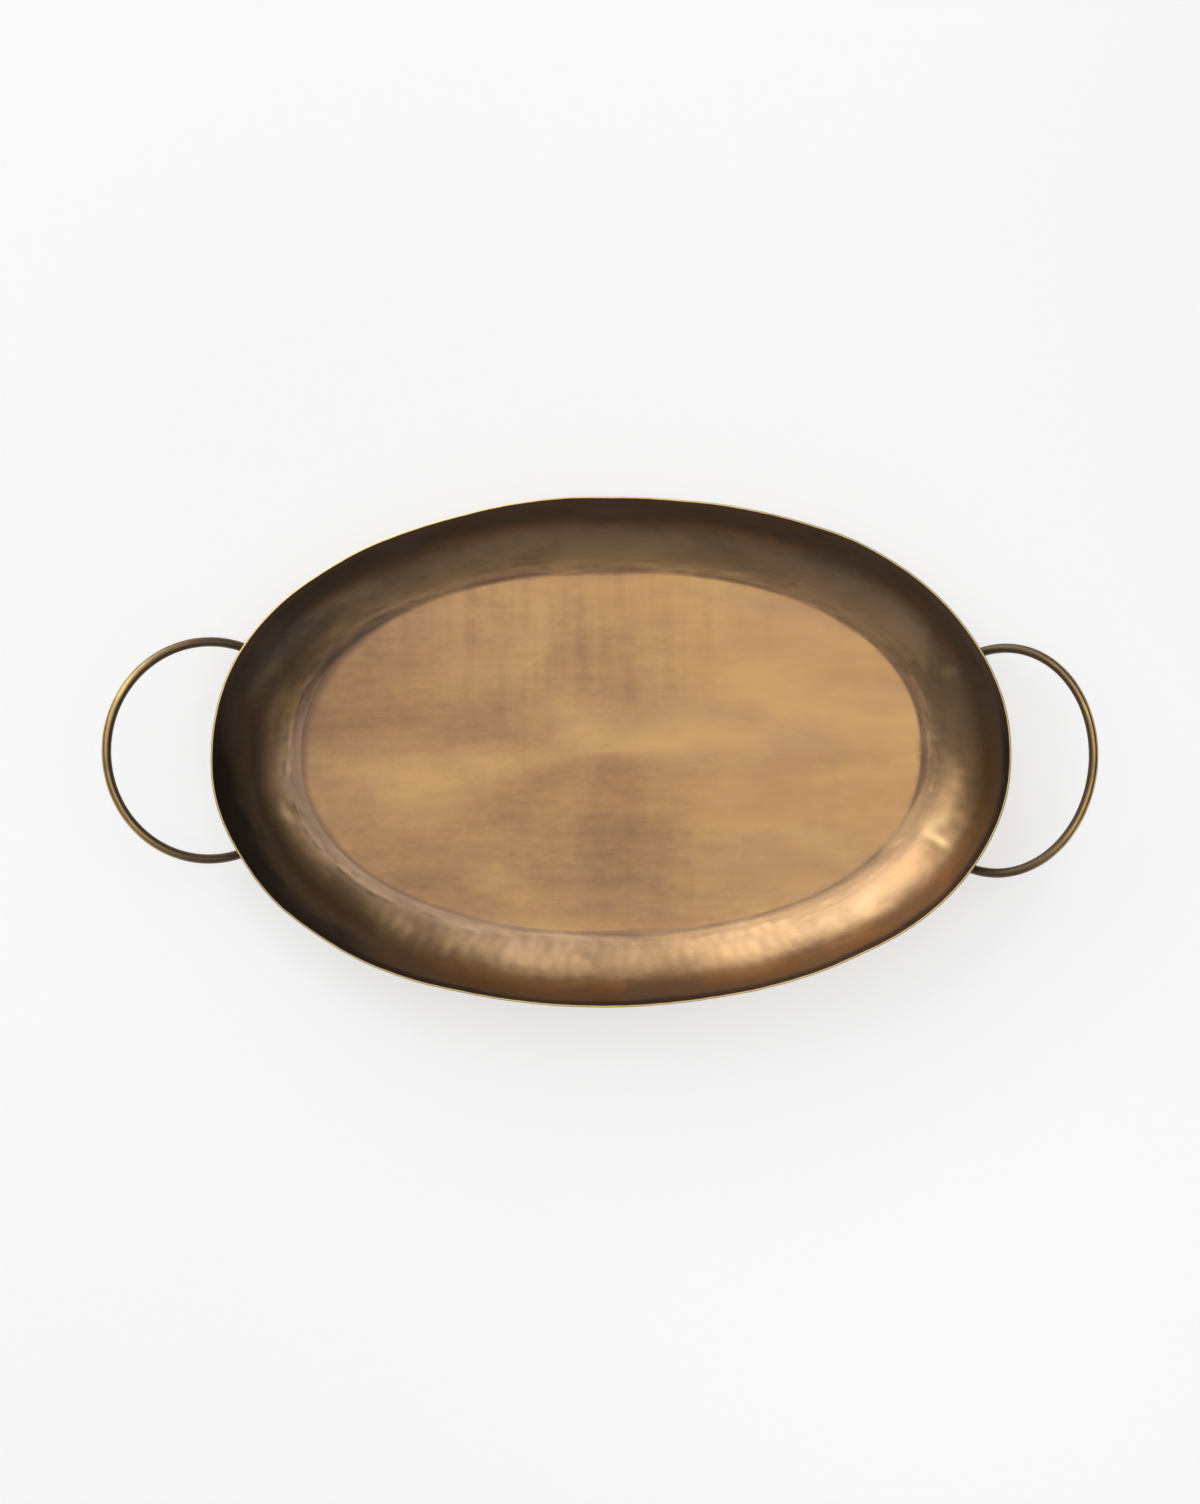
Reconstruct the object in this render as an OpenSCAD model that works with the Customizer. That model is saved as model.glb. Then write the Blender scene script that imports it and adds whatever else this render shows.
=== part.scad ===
// Oval brass serving tray with two round-rod loop handles.
// Row frame: +X along the length, +Z up, origin at the bottom centre of the whole tray's box.

/* [Pan] */
// Length of the pan over its rim
rim_l = 502; // [430:1:620]
// Width of the pan over its rim
rim_w = 321; // [270:1:400]
// How square the rim's outline is: 2 is an ellipse
rim_squareness = 2.13; // [2:0.01:2.6]
// How square the floor's outline is: 2 is an ellipse
floor_squareness = 2.19; // [2:0.01:2.6]
// Width of the wall in plan, from crease to rim, at the two ends
end_run = 51; // [42:1:62]
// Width of the wall in plan, from crease to rim, at the two sides
side_run = 44; // [36:1:53]
// Height of the rim above the table
depth = 48; // [40:1:58]
// Thickness of the brass sheet
sheet = 1.2; // [0.8:0.1:2]
// Slope of the wall's arc where it leaves the floor, before the arc is stretched to the wall
crease_slope = 22; // [12:1:32]
// Slope of the wall's arc at the rim, before the arc is stretched to the wall
rim_slope = 82; // [72:1:86]

/* [Handles] */
// Diameter of the handle rod
rod_d = 6; // [5:0.5:8]
// Height of both loops' rod axis at its outermost point
handle_h = 50; // [44:1:60]
// Slope at which both loops rise away from the pan
handle_rise = 21; // [17:1:25]
// How far the left loop stands out from the rim's end
left_reach = 68; // [56:1:82]
// Length of the left loop along the tray, on the rod's axis
left_loop_l = 124; // [112:1:140]
// Width of the left loop across the tray, on the rod's axis
left_loop_w = 138; // [115:1:166]
// How far the left loop sits behind the pan's long axis
left_shift = 4; // [-10:1:10]
// How far the left loop is turned in plan
left_turn = -3.5; // [-8:0.5:8]
// How far the right loop stands out from the rim's end
right_reach = 54; // [45:1:65]
// Length of the right loop along the tray, on the rod's axis
right_loop_l = 110; // [98:1:128]
// Width of the right loop across the tray, on the rod's axis
right_loop_w = 143; // [119:1:172]
// How far the right loop sits behind the pan's long axis
right_shift = -8.5; // [-12:0.5:12]
// How far the right loop is turned in plan
right_turn = -7; // [-10:0.5:10]

/* [Braze] */
// Radius of the braze puddle around a rod's foot
braze_r = 5.5; // [4.5:0.5:7]
// How far the braze tapers back along the rod
braze_tail = 9; // [6:1:14]

/* [Hidden] */
around = 96;       // points round each ring of the pan
up = 14;           // rings from crease to rim
rod_sides = 16;    // flats round the rod
rod_rings = 72;    // steps along a loop
foot_rings = 8;    // steps at a loop's end that lie within the braze
foot_bury = 8;     // length of rod past the wall's skin, trimmed off to the wall's shape
wedge_side = 3;    // steps of the pan's ring to each side of a foot that the trimming covers
wedge_up = 5;      // rings above and below a foot that the trimming covers
wedge_deep = 0.75; // inner edge of the trimming, as a share of the way out from the centre
lip_over = 2;      // how far the hollow runs past the rim
braze_skin = 0.7;  // braze on the rod at the tail's end
ball_sides = 24;   // flats round the braze
rod_r = rod_d / 2;
back = 1;
front = -1;
left = -1;
right = 1;

// A loop is [side, centre x, centre y, half length, half width, turn], about the pan's centre.
left_loop = [left, -(rim_l / 2 + left_reach - rod_r - left_loop_l / 2), left_shift,
             left_loop_l / 2, left_loop_w / 2, left_turn];
right_loop = [right, rim_l / 2 + right_reach - rod_r - right_loop_l / 2, right_shift,
              right_loop_l / 2, right_loop_w / 2, right_turn];

// The furthest a loop reaches in x: a turned ellipse's half length is a root of squares.
function loop_end(loop) =
    abs(loop[1]) + norm([loop[3] * cos(loop[5]), loop[4] * sin(loop[5])]) + rod_r;
pan_x = (loop_end(left_loop) - loop_end(right_loop)) / 2;

// ---- wall: an arc from crease_slope to rim_slope, stretched to the wall's run and height ----
function arc_slope(t) = crease_slope + (rim_slope - crease_slope) * t;
function out_share(t) =
    (sin(arc_slope(t)) - sin(crease_slope)) / (sin(rim_slope) - sin(crease_slope));
function up_share(t) =
    (cos(crease_slope) - cos(arc_slope(t))) / (cos(crease_slope) - cos(rim_slope));
arc_run = sin(rim_slope) - sin(crease_slope);
arc_rise = cos(crease_slope) - cos(rim_slope);
// True slope of the wall where its plan width is run
function wall_slope(t, run) = atan(tan(arc_slope(t)) * (depth / arc_rise) / (run / arc_run));
function squareness(t) = floor_squareness + (rim_squareness - floor_squareness) * out_share(t);
function half_l(t) = rim_l / 2 - end_run * (1 - out_share(t));
function half_w(t) = rim_w / 2 - side_run * (1 - out_share(t));

// A level ring of the pan: a superellipse
function power(v, n) = sign(v) * pow(abs(v), 2 / n);
function ring(a, b, n, z) =
    [for (i = [0 : around - 1])
        let (q = 360 * (i + 0.5) / around)
        [pan_x + a * power(cos(q), n), b * power(sin(q), n), z]];

function outer_ring(t) = ring(half_l(t), half_w(t), squareness(t), depth * up_share(t));
// The inside is the outside moved in by the sheet, square to the wall.
function inner_ring(t) =
    let (e = wall_slope(t, end_run), s = wall_slope(t, side_run))
    ring(half_l(t) - sheet * sin(e), half_w(t) - sheet * sin(s), squareness(t),
         depth * up_share(t) + sheet * cos((e + s) / 2));
crease_ring = ring(half_l(0) - sheet * tan(wall_slope(0, end_run) / 2),
                   half_w(0) - sheet * tan(wall_slope(0, side_run) / 2), squareness(0), sheet);
mouth_ring = [for (p = inner_ring(1)) p + [0, 0, lip_over]];

// Closed solid through rings that all have the same number of points
module through_rings(rings) {
    n = len(rings[0]);
    top = len(rings) - 1;
    polyhedron(
        points = [for (r = rings) for (p = r) p],
        faces = concat(
            [[for (i = [0 : n - 1]) i]],
            [for (k = [0 : top - 1], i = [0 : n - 1])
                let (j = (i + 1) % n, lo = k * n, hi = lo + n)
                [lo + j, lo + i, hi + i]],
            [for (k = [0 : top - 1], i = [0 : n - 1])
                let (j = (i + 1) % n, lo = k * n, hi = lo + n)
                [lo + j, hi + i, hi + j]],
            [[for (i = [n - 1 : -1 : 0]) top * n + i]]),
        convexity = 4);
}

module pan() {
    color([0.62, 0.47, 0.29])
    difference() {
        through_rings([for (k = [0 : up]) outer_ring(k / up)]);
        through_rings(concat([crease_ring], [for (k = [1 : up]) inner_ring(k / up)], [mouth_ring]));
    }
}

// ---- handles: a tilted ellipse of rod, each end run on until it meets the wall's skin ----
// Point on a loop's axis at angle q, where 0 points away from the pan
function loop_u(loop, q) = loop[3] * cos(q);
function loop_plan(loop, q) =
    let (u = loop_u(loop, q), v = loop[4] * sin(q), c = cos(loop[5]), s = sin(loop[5]))
    [loop[1] + loop[0] * u * c - v * s, loop[2] + loop[0] * u * s + v * c];
function loop_height(loop, q) =
    handle_h - (loop[3] - loop_u(loop, q)) * tan(handle_rise);
function loop_point(loop, q) =
    let (p = loop_plan(loop, q))
    [pan_x + p[0], p[1], loop_height(loop, q)];

// Height of the wall's outside above a plan point, by halving t; the rim's height beyond the rim
function outside(p, t) =
    pow(abs(p[0]) / half_l(t), squareness(t)) + pow(abs(p[1]) / half_w(t), squareness(t)) > 1;
function skin_t(p, lo = 0, hi = 1, tries = 24) =
    tries == 0 ? (lo + hi) / 2
    : let (t = (lo + hi) / 2) outside(p, t) ? skin_t(p, t, hi, tries - 1)
    : skin_t(p, lo, t, tries - 1);
function skin_height(p) = depth * up_share(skin_t(p));

// Angle at which a loop's back or front end meets the wall, by halving from its widest point
function foot_angle(loop, end, clear = 90, met = 180, tries = 24) =
    tries == 0 ? end * (clear + met) / 2
    : let (q = (clear + met) / 2)
      loop_height(loop, end * q) < skin_height(loop_plan(loop, end * q))
    ? foot_angle(loop, end, q, met, tries - 1)
    : foot_angle(loop, end, clear, q, tries - 1);
// Angle that a length of rod takes up near angle q
function rod_angle(loop, length, q) =
    length / norm(loop_point(loop, q + 0.5) - loop_point(loop, q - 0.5));

// Ring of the rod square to the loop at angle q
function rod_ring(loop, q) =
    let (
        p = loop_point(loop, q),
        d = loop_point(loop, q + 0.1) - loop_point(loop, q - 0.1),
        along = d / norm(d),
        n = cross(along, [0, 0, 1]),
        flat = n / norm(n),
        rise = cross(flat, along))
    [for (i = [0 : rod_sides - 1])
        let (w = -360 * (i + 0.5) / rod_sides)
        p + rod_r * (flat * cos(w) + rise * sin(w))];

module rod(loop, first = 0, last = rod_rings) {
    b = foot_angle(loop, back);
    f = foot_angle(loop, front);
    start = f - rod_angle(loop, foot_bury, f);
    stop = b + rod_angle(loop, foot_bury, b);
    through_rings([for (k = [first : last]) rod_ring(loop, start + (stop - start) * k / rod_rings)]);
}

// The pan's filled shape near one foot, on the pan's own rings, which trims what meets the wall
function ring_step(p, t) =
    floor(atan2(pow(abs(p[1]) / half_w(t), squareness(t) / 2) * sign(p[1]),
                pow(abs(p[0]) / half_l(t), squareness(t) / 2) * sign(p[0])) / 360 * around);
function wedge_ring(t, step) =
    let (
        r = outer_ring(t),
        n = 2 * wedge_side + 1,
        edge = [for (i = [0 : n]) r[(step - wedge_side + i + around) % around]])
    concat(edge, [for (p = [edge[n], edge[0]])
        [pan_x + (p[0] - pan_x) * wedge_deep, p[1] * wedge_deep, p[2]]]);
module wedge(loop, end) {
    p = loop_plan(loop, foot_angle(loop, end));
    t = skin_t(p);
    k = round(t * up);
    through_rings([for (i = [max(0, k - wedge_up) : min(up, k + wedge_up)])
        wedge_ring(i / up, ring_step(p, t))]);
}

module handle(loop) {
    color([0.52, 0.39, 0.22])
    difference() {
        rod(loop);
        wedge(loop, back);
        wedge(loop, front);
    }
}

module left_handle() {
    handle(left_loop);
}

module right_handle() {
    handle(right_loop);
}

// ---- braze: a puddle at the foot that tapers back along the rod, cut to the wall and rod ----
module braze(loop, end) {
    q = foot_angle(loop, end);
    tail_q = q - end * rod_angle(loop, braze_tail, q);
    color([0.72, 0.55, 0.30])
    difference() {
        hull() {
            translate(loop_point(loop, q)) sphere(r = braze_r, $fn = ball_sides);
            translate(loop_point(loop, tail_q)) sphere(r = rod_r + braze_skin, $fn = ball_sides);
        }
        if (end == back) rod(loop, first = rod_rings - foot_rings);
        else rod(loop, last = foot_rings);
        wedge(loop, end);
    }
}

module left_back_braze() {
    braze(left_loop, back);
}

module left_front_braze() {
    braze(left_loop, front);
}

module right_back_braze() {
    braze(right_loop, back);
}

module right_front_braze() {
    braze(right_loop, front);
}

pan();
left_handle();
right_handle();
left_back_braze();
left_front_braze();
right_back_braze();
right_front_braze();
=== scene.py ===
"""Oval tray of aged brass: a raised sheet pan with a rod loop brazed under each end.

Every surface is worked out on a grid with numpy, in metres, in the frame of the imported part.
"""

import math

import bpy
import numpy as np
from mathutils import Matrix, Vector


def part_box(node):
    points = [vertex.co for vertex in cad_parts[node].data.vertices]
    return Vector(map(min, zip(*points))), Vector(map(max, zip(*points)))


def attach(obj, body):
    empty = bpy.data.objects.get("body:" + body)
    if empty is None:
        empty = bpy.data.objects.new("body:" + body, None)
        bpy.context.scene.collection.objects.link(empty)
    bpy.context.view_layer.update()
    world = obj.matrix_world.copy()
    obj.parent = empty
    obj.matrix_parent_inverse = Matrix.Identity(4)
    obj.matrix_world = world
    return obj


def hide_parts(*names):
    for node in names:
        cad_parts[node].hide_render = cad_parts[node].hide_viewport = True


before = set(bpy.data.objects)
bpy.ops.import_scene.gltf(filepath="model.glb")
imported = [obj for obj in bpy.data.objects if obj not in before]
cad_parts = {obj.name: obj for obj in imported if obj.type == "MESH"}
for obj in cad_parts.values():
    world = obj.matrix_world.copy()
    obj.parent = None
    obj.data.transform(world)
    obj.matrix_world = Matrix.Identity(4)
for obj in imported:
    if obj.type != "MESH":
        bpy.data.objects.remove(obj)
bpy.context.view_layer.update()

# ---- sizes, in metres and degrees ----
MM = 0.001
END_RUN = 0.051         # plan width of the wall at the ends
SIDE_RUN = 0.044        # plan width of the wall at the sides
RIM_SQUARE = 2.13       # squareness of the rim's outline; 2 is an ellipse
FLOOR_SQUARE = 2.19
CREASE_SLOPE = 22.0     # slopes of the wall's arc, before it is stretched
RIM_SLOPE = 82.0
SHEET = 1.2 * MM        # thickness of the pan
ROD_R = 3.0 * MM        # radius of the handles' rod
LOOP_RISE = 21.0        # slope at which the loops rise away from the pan
# Each loop's axis: half length, half width, how far back its middle lies, and its turn in degrees
LOOPS = {
    "left": {"side": -1, "half_l": 0.062, "half_w": 0.069, "shift": 0.004, "turn": -3.5},
    "right": {"side": 1, "half_l": 0.055, "half_w": 0.0715, "shift": -0.0085, "turn": -7.0},
}

pan_low, pan_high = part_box("pan")
PAN_X = (pan_low.x + pan_high.x) / 2
HALF_L = (pan_high.x - pan_low.x) / 2
HALF_W = (pan_high.y - pan_low.y) / 2
DEPTH = pan_high.z
for side, loop in LOOPS.items():
    low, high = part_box(side + "_handle")
    turn = math.radians(loop["turn"])
    reach = max(abs(low.x - PAN_X), abs(high.x - PAN_X))
    across = math.hypot(loop["half_l"] * math.cos(turn), loop["half_w"] * math.sin(turn))
    loop["x"] = loop["side"] * (reach - ROD_R - across)
    loop["top"] = high.z - ROD_R

# How the rim wanders in and out, and how it lifts. A row is one set of waves: (number round the rim,
# size in mm, place of a crest in degrees)
RIM_WANDER = [(3, 0.35, 330), (4, 0.55, 68), (6, 0.3, 45), (7, 0.2, 0), (8, 0.4, 320), (13, 0.12, 20)]
RIM_LIFT = [(2, 0.2, 20), (3, 0.2, 100), (5, 0.12, 200), (9, 0.06, 0)]

# Hand work on the pan, and how the rods and the braze sit on it
LIFT_DROP = 0.6 * MM    # how far the rim sits below its packed height, so that no lift passes it
CREASE_ROUND = 3.2 * MM # length over which the crease is rounded
SWAY = 0.34 * MM        # size of the wall's slow waves
SWAY_RUN = (38 * MM, 100 * MM)      # shortest and longest of those waves
BLOW = 0.13 * MM        # depth of a hammer blow on the wall
BLOW_HALF = (6 * MM, 10 * MM)       # half width and half height of its mark
BLOW_ROWS = (10, 15)    # first row of blows above the crease, and the gap between rows, in mm
NICK = 0.15 * MM        # depth of a small mark just above the crease
NICK_HALF = (8 * MM, 2.6 * MM)      # half width and half height of it
NICK_ROWS = (4.5 * MM, 8.5 * MM)    # how far those marks lie above the crease
WARP = 0.12 * MM        # size of the floor's slow waves
FLOOR_LIFT = 0.35 * MM  # most that the floor's underside stands above the table
FOOT_SINK = 0.35 * MM   # how far a rod's end is let into the wall
BEAD_REACH = 3.4 * MM   # how far a bead of braze spreads over the wall from the rod
BEAD_RUN = 5.5 * MM     # how far it runs back along the rod
BEAD_SINK = 0.12 * MM   # how far its edge is let into the wall

# Dents where the rods' feet were knocked on, in mm from the middle of the whole tray: place across, place
# back, push, half width, half length, and the direction of the length in degrees
FOOT_DENTS = [
    (-204, 61, 0.35, 6, 6, 0),
    (-200, -37, 0.4, 3, 4, 120),
    (-196, -40, 0.15, 1.6, 2.5, 40),
    (223, 48, 0.7, 6, 8, 60),
    (226, 44, 0.12, 2.5, 4, 20),
    (216, -66, 0.6, 8, 10, 45),
    (218.5, -62.5, 0.22, 2.2, 5.5, -40),
    (213, -60, 0.12, 2.0, 5, -30),
    (229.5, -48, 0.12, 2.4, 4, 60),
]

# Flecks of clear brass on those dents, partly wear and partly painted highlight where the dents glint: the
# same, with how clear in place of the push
WORN_GLINT_FLECKS = [
    (215.2, -59.2, 0.45, 1.9, 4.2, -32),
    (217.6, -60.6, 0.4, 1.9, 2.2, 20),
    (220.2, -45.4, 0.4, 2.5, 3.0, 0),
    (211.0, -52.0, 0.25, 3.0, 4.5, 60),
    (223.9, 49.0, 0.4, 2.4, 3.2, 30),
    (-199.5, -36.0, 0.3, 3.0, 4.0, 0),
]


# ---- the wall's form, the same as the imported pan's ----
def unit(v):
    """Each vector divided by its own length."""
    return v / np.maximum(np.linalg.norm(v, axis=-1, keepdims=True), 1e-12)


def out_share(t):
    """Share of the wall's plan width reached at t: the sine of an arc's slope, from crease to rim."""
    first, last = math.radians(CREASE_SLOPE), math.radians(RIM_SLOPE)
    return (np.sin(first + (last - first) * t) - math.sin(first)) / (math.sin(last) - math.sin(first))


def up_share(t):
    """Share of the wall's height reached at t: one less the cosine of the same arc's slope."""
    first, last = math.radians(CREASE_SLOPE), math.radians(RIM_SLOPE)
    return (math.cos(first) - np.cos(first + (last - first) * t)) / (math.cos(first) - math.cos(last))


def outline(t):
    """Half length, half width and squareness of the level ring at t."""
    inward = 1 - out_share(t)
    square = FLOOR_SQUARE + (RIM_SQUARE - FLOOR_SQUARE) * out_share(t)
    return HALF_L - END_RUN * inward, HALF_W - SIDE_RUN * inward, square


def ring_point(q, half_l, half_w, square):
    """Point at angle q on a superellipse: an ellipse's point pushed out by the squareness."""
    c, s = np.cos(q), np.sin(q)
    push = (np.abs(c) ** square + np.abs(s) ** square) ** (-1 / square)
    return half_l * c * push, half_w * s * push


def skin_share(x, y):
    """The t at which the wall's outside passes over a plan point, by halving. x is from the pan's centre."""
    low, high = np.zeros(np.shape(x)), np.ones(np.shape(x))
    for _ in range(30):
        mid = (low + high) / 2
        half_l, half_w, square = outline(mid)
        beyond = np.abs(x / half_l) ** square + np.abs(y / half_w) ** square > 1
        low, high = np.where(beyond, mid, low), np.where(beyond, high, mid)
    return (low + high) / 2


def skin_height(x, y):
    """Height of the wall's outside at a plan point."""
    return DEPTH * up_share(skin_share(x, y))


def ripples(points, count, shortest, longest, seed):
    """Sum of sine waves through space, each in its own direction, scaled to run from about -1 to 1."""
    rng = np.random.default_rng(seed)
    total = np.zeros(points.shape[:-1])
    for _ in range(count):
        wave = unit(rng.normal(0, 1, 3)) * 2 * np.pi / rng.uniform(shortest, longest)
        total = total + np.sin(points @ wave + rng.uniform(0, 2 * np.pi))
    return total / math.sqrt(count)


def bells(points, rows):
    """Long bell curves in plan, added up: each falls off with the square of the distance from its middle.

    A row is (place across, place back, height, half width, half length, turn), as in FOOT_DENTS.
    """
    total = np.zeros(points.shape[:-1])
    for x, y, height, half_width, half_length, turn in rows:
        gap_x, gap_y = points[..., 0] / MM - x, points[..., 1] / MM - y
        c, s = math.cos(math.radians(turn)), math.sin(math.radians(turn))
        along = gap_x * c + gap_y * s
        across = gap_y * c - gap_x * s
        total = total + height * np.exp(-0.5 * ((along / half_length) ** 2 + (across / half_width) ** 2))
    return total


def foot_dent(points):
    """How far the sheet is pushed in about the rods' feet, in metres."""
    return MM * bells(points, FOOT_DENTS)


# ---- from grid to mesh ----
def grid_normals(grid):
    """Unit normals of a (rings, around, 3) grid, from the cross product of its two directions.

    A ring closes on itself, so its direction is the step between the neighbours on each side.
    """
    return unit(np.cross(np.gradient(grid, axis=0), np.roll(grid, -1, 1) - np.roll(grid, 1, 1)))


def closed_mesh(name, grid, first, last):
    """A grid of rings, closed by a fan to one point at each end, as a mesh with outward faces."""
    rings, around = grid.shape[:2]
    points = np.concatenate([[first], grid.reshape(-1, 3), [last]])
    i = np.arange(around)
    j = (i + 1) % around
    k = (1 + around * np.arange(rings - 1))[:, None]
    quads = np.stack([k + i, k + around + i, k + around + j, k + j], -1).reshape(-1, 4)
    top = 1 + around * (rings - 1)
    fans = np.concatenate([
        np.stack([np.zeros_like(i), 1 + i, 1 + j], -1),
        np.stack([np.full_like(i, len(points) - 1), top + j, top + i], -1),
    ])
    a, b, c = points[quads[:, 0]], points[quads[:, 1]], points[quads[:, 2]]
    if np.einsum("ij,ij->i", a, np.cross(b, c)).sum() < 0:
        quads, fans = quads[:, ::-1], fans[:, ::-1]
    mesh = bpy.data.meshes.new(name)
    mesh.from_pydata(points.tolist(), [], quads.tolist() + fans.tolist())
    mesh.polygons.foreach_set("use_smooth", np.ones(len(mesh.polygons), bool))
    mesh.update()
    piece = bpy.data.objects.new(name, mesh)
    bpy.context.scene.collection.objects.link(piece)
    return piece


def mark(piece, name, grid, first, last):
    """Stores one value per vertex, in the order of closed_mesh."""
    values = np.concatenate([[first], grid.reshape(-1), [last]]).astype(np.float32)
    piece.data.attributes.new(name, "FLOAT", "POINT").data.foreach_set("value", values)


def mark_vector(piece, name, grid, first, last):
    """Stores one vector per vertex, in the order of closed_mesh."""
    values = np.concatenate([[first], grid.reshape(-1, 3), [last]]).astype(np.float32)
    piece.data.attributes.new(name, "FLOAT_VECTOR", "POINT").data.foreach_set("vector", values.ravel())


# ---- pan ----
AROUND = 640            # grid steps round the pan


def even_angles(count):
    """Angles whose points are evenly spaced along the rim: the rim's length read backwards."""
    q = np.linspace(0, 2 * np.pi, 7201)
    x, y = ring_point(q, HALF_L, HALF_W, RIM_SQUARE)
    length = np.concatenate([[0], np.cumsum(np.hypot(np.diff(x), np.diff(y)))])
    return np.interp(np.arange(count) / count * length[-1], length, q), length[-1]


def waves(q, rows):
    """Sum of cosines round the rim, in metres."""
    return sum(size * MM * np.cos(n * (q - math.radians(crest))) for n, size, crest in rows)


def on_drum(place, rise, length):
    """Points on a drum as long round as the pan, so that a pattern laid on them has no seam."""
    turn = 2 * np.pi * place / length
    radius = length / (2 * np.pi)
    return np.stack([radius * np.cos(turn) + 0 * rise, radius * np.sin(turn) + 0 * rise, rise + 0 * turn], -1)


def hammer_marks(flow, length, rows, half, seed, missing=0.0):
    """Depth of hammer marks, 0 to 1: each point lies in the cap of its nearest blow, on a shaken grid.

    flow is the points' places on the drum, rows the heights of the rows of blows, and half the half
    width and half height of a mark; blows lie 1.7 half widths apart. A cap's depth is one less the
    square of the distance from its middle, and some blows are weak or missing.
    """
    wide, tall = half
    rng = np.random.default_rng(seed)
    count = int(round(length / (1.7 * wide)))
    columns = (np.arange(count)[None] + 0.5 * (np.arange(len(rows)) % 2)[:, None]) * length / count
    across = columns + rng.uniform(-0.5, 0.5, columns.shape) * wide
    height = np.array(rows)[:, None] + rng.uniform(-0.4, 0.4, columns.shape) * tall
    strength = rng.uniform(0.4, 1.0, columns.size) * (rng.uniform(0, 1, columns.size) >= missing)
    centres = on_drum(across, height, length).reshape(-1, 3) / (wide, wide, tall)
    points = flow / (wide, wide, tall)
    gap, which = np.empty(points.shape[:2]), np.empty(points.shape[:2], int)
    for row, ring in enumerate(points):
        squares = ((ring[:, None] - centres[None]) ** 2).sum(-1)
        which[row] = squares.argmin(1)
        gap[row] = squares.min(1)
    return strength[which] * (1 - np.minimum(gap, 1.0))


def smooth_step(x, low, high):
    """0 below low, 1 above high, and a smooth run between."""
    s = np.clip((x - low) / (high - low), 0, 1)
    return s * s * (3 - 2 * s)


def pan_rings():
    """Rings from the middle out: the share of the floor, the t of the wall, and how many lie on the floor."""
    shares = np.concatenate([np.linspace(0.05, 0.9, 20), np.linspace(0.92, 0.995, 12)])
    heights = np.concatenate([[0], np.linspace(0.012, 0.25, 24), np.linspace(0.27, 1, 37)])
    share = np.concatenate([shares, np.ones(len(heights))])[:, None]
    t = np.concatenate([np.zeros(len(shares)), heights])[:, None]
    return share, t, len(shares)


def formed_skin(q, share, t, wall):
    """The pan's outside as formed: level rings on the wall's arc, a wandering rim and a rounded crease.

    The crease follows a hyperbola in place of its corner. Also gives the skin's normals, and the
    distance up the wall from the crease, which is less than nothing on the floor.
    """
    half_l, half_w, square = outline(t)
    x, y = ring_point(q[None], half_l * share, half_w * share, square)
    skin = np.stack([PAN_X + x, y, DEPTH * up_share(t) + 0 * x], -1)
    normal = grid_normals(skin)
    normal[:wall] = (0, 0, 1)
    plan_normal = unit(normal * (1, 1, 0))
    ease = smooth_step(t, 0.1, 1.0)
    skin = skin - plan_normal * (waves(q, RIM_WANDER)[None] * ease)[..., None]
    skin[..., 2] += (waves(q, RIM_LIFT)[None] - LIFT_DROP) * ease
    step = np.linalg.norm(np.diff(skin, axis=0), axis=-1).mean(1)
    up = np.concatenate([[0], np.cumsum(step)])[:, None]
    up = up - up[wall]
    first_slope = (skin[wall + 3, :, 2] - skin[wall, :, 2]) / (up[wall + 3] - up[wall])
    skin[..., 2] += first_slope * (np.hypot(up, CREASE_ROUND) - np.abs(up)) / 2
    return skin, normal, up


def hand_work(skin, share, up, flow, length):
    """How far each point is moved along its normal: the wall's sway, hammer marks, a warped floor, dents."""
    first, gap = BLOW_ROWS
    rows = np.arange(first, up[-1, 0] / MM + gap, gap) * MM
    blows = hammer_marks(flow, length, rows, BLOW_HALF, 7)
    nicks = hammer_marks(flow, length, NICK_ROWS, NICK_HALF, 19, missing=0.45)
    work = SWAY * ripples(flow, 14, *SWAY_RUN, 23) * smooth_step(up, 2 * MM, 20 * MM)
    work = work - BLOW * blows * smooth_step(up, 2 * MM, 12 * MM) - NICK * nicks
    floor_x, floor_y = (skin[..., 0] - PAN_X) / HALF_L, skin[..., 1] / HALF_W
    warp = np.sin(7.3 * floor_x + 1.1) * np.sin(4.1 * floor_y + 0.4)
    warp = warp + 0.6 * np.sin(13.7 * floor_x + 2.0 * floor_y)
    calm = 1 - smooth_step(share, 0.8, 0.98)
    work = work + np.where(share < 1, WARP * (warp + 1.6) * calm, 0)
    return work + foot_dent(skin)


def cut_lip(skin, normal):
    """Rings over the cut edge: half a circle as wide as the sheet, flattened, with a little roughness."""
    edge_up = unit(skin[-1] - skin[-2])
    rough = np.random.default_rng(3).normal(0, 1, AROUND)
    rough = (rough + np.roll(rough, 1)) / 2
    lips = []
    for turn in np.radians([75, 45, 0, -45, -75]):
        out = 0.5 * SHEET * (1 + math.sin(turn))
        rise = (0.25 + 0.06 * rough[:, None]) * MM * math.cos(turn)
        lips.append(skin[-1] + normal[-1] * out + edge_up * rise)
    return np.array(lips)


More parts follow.
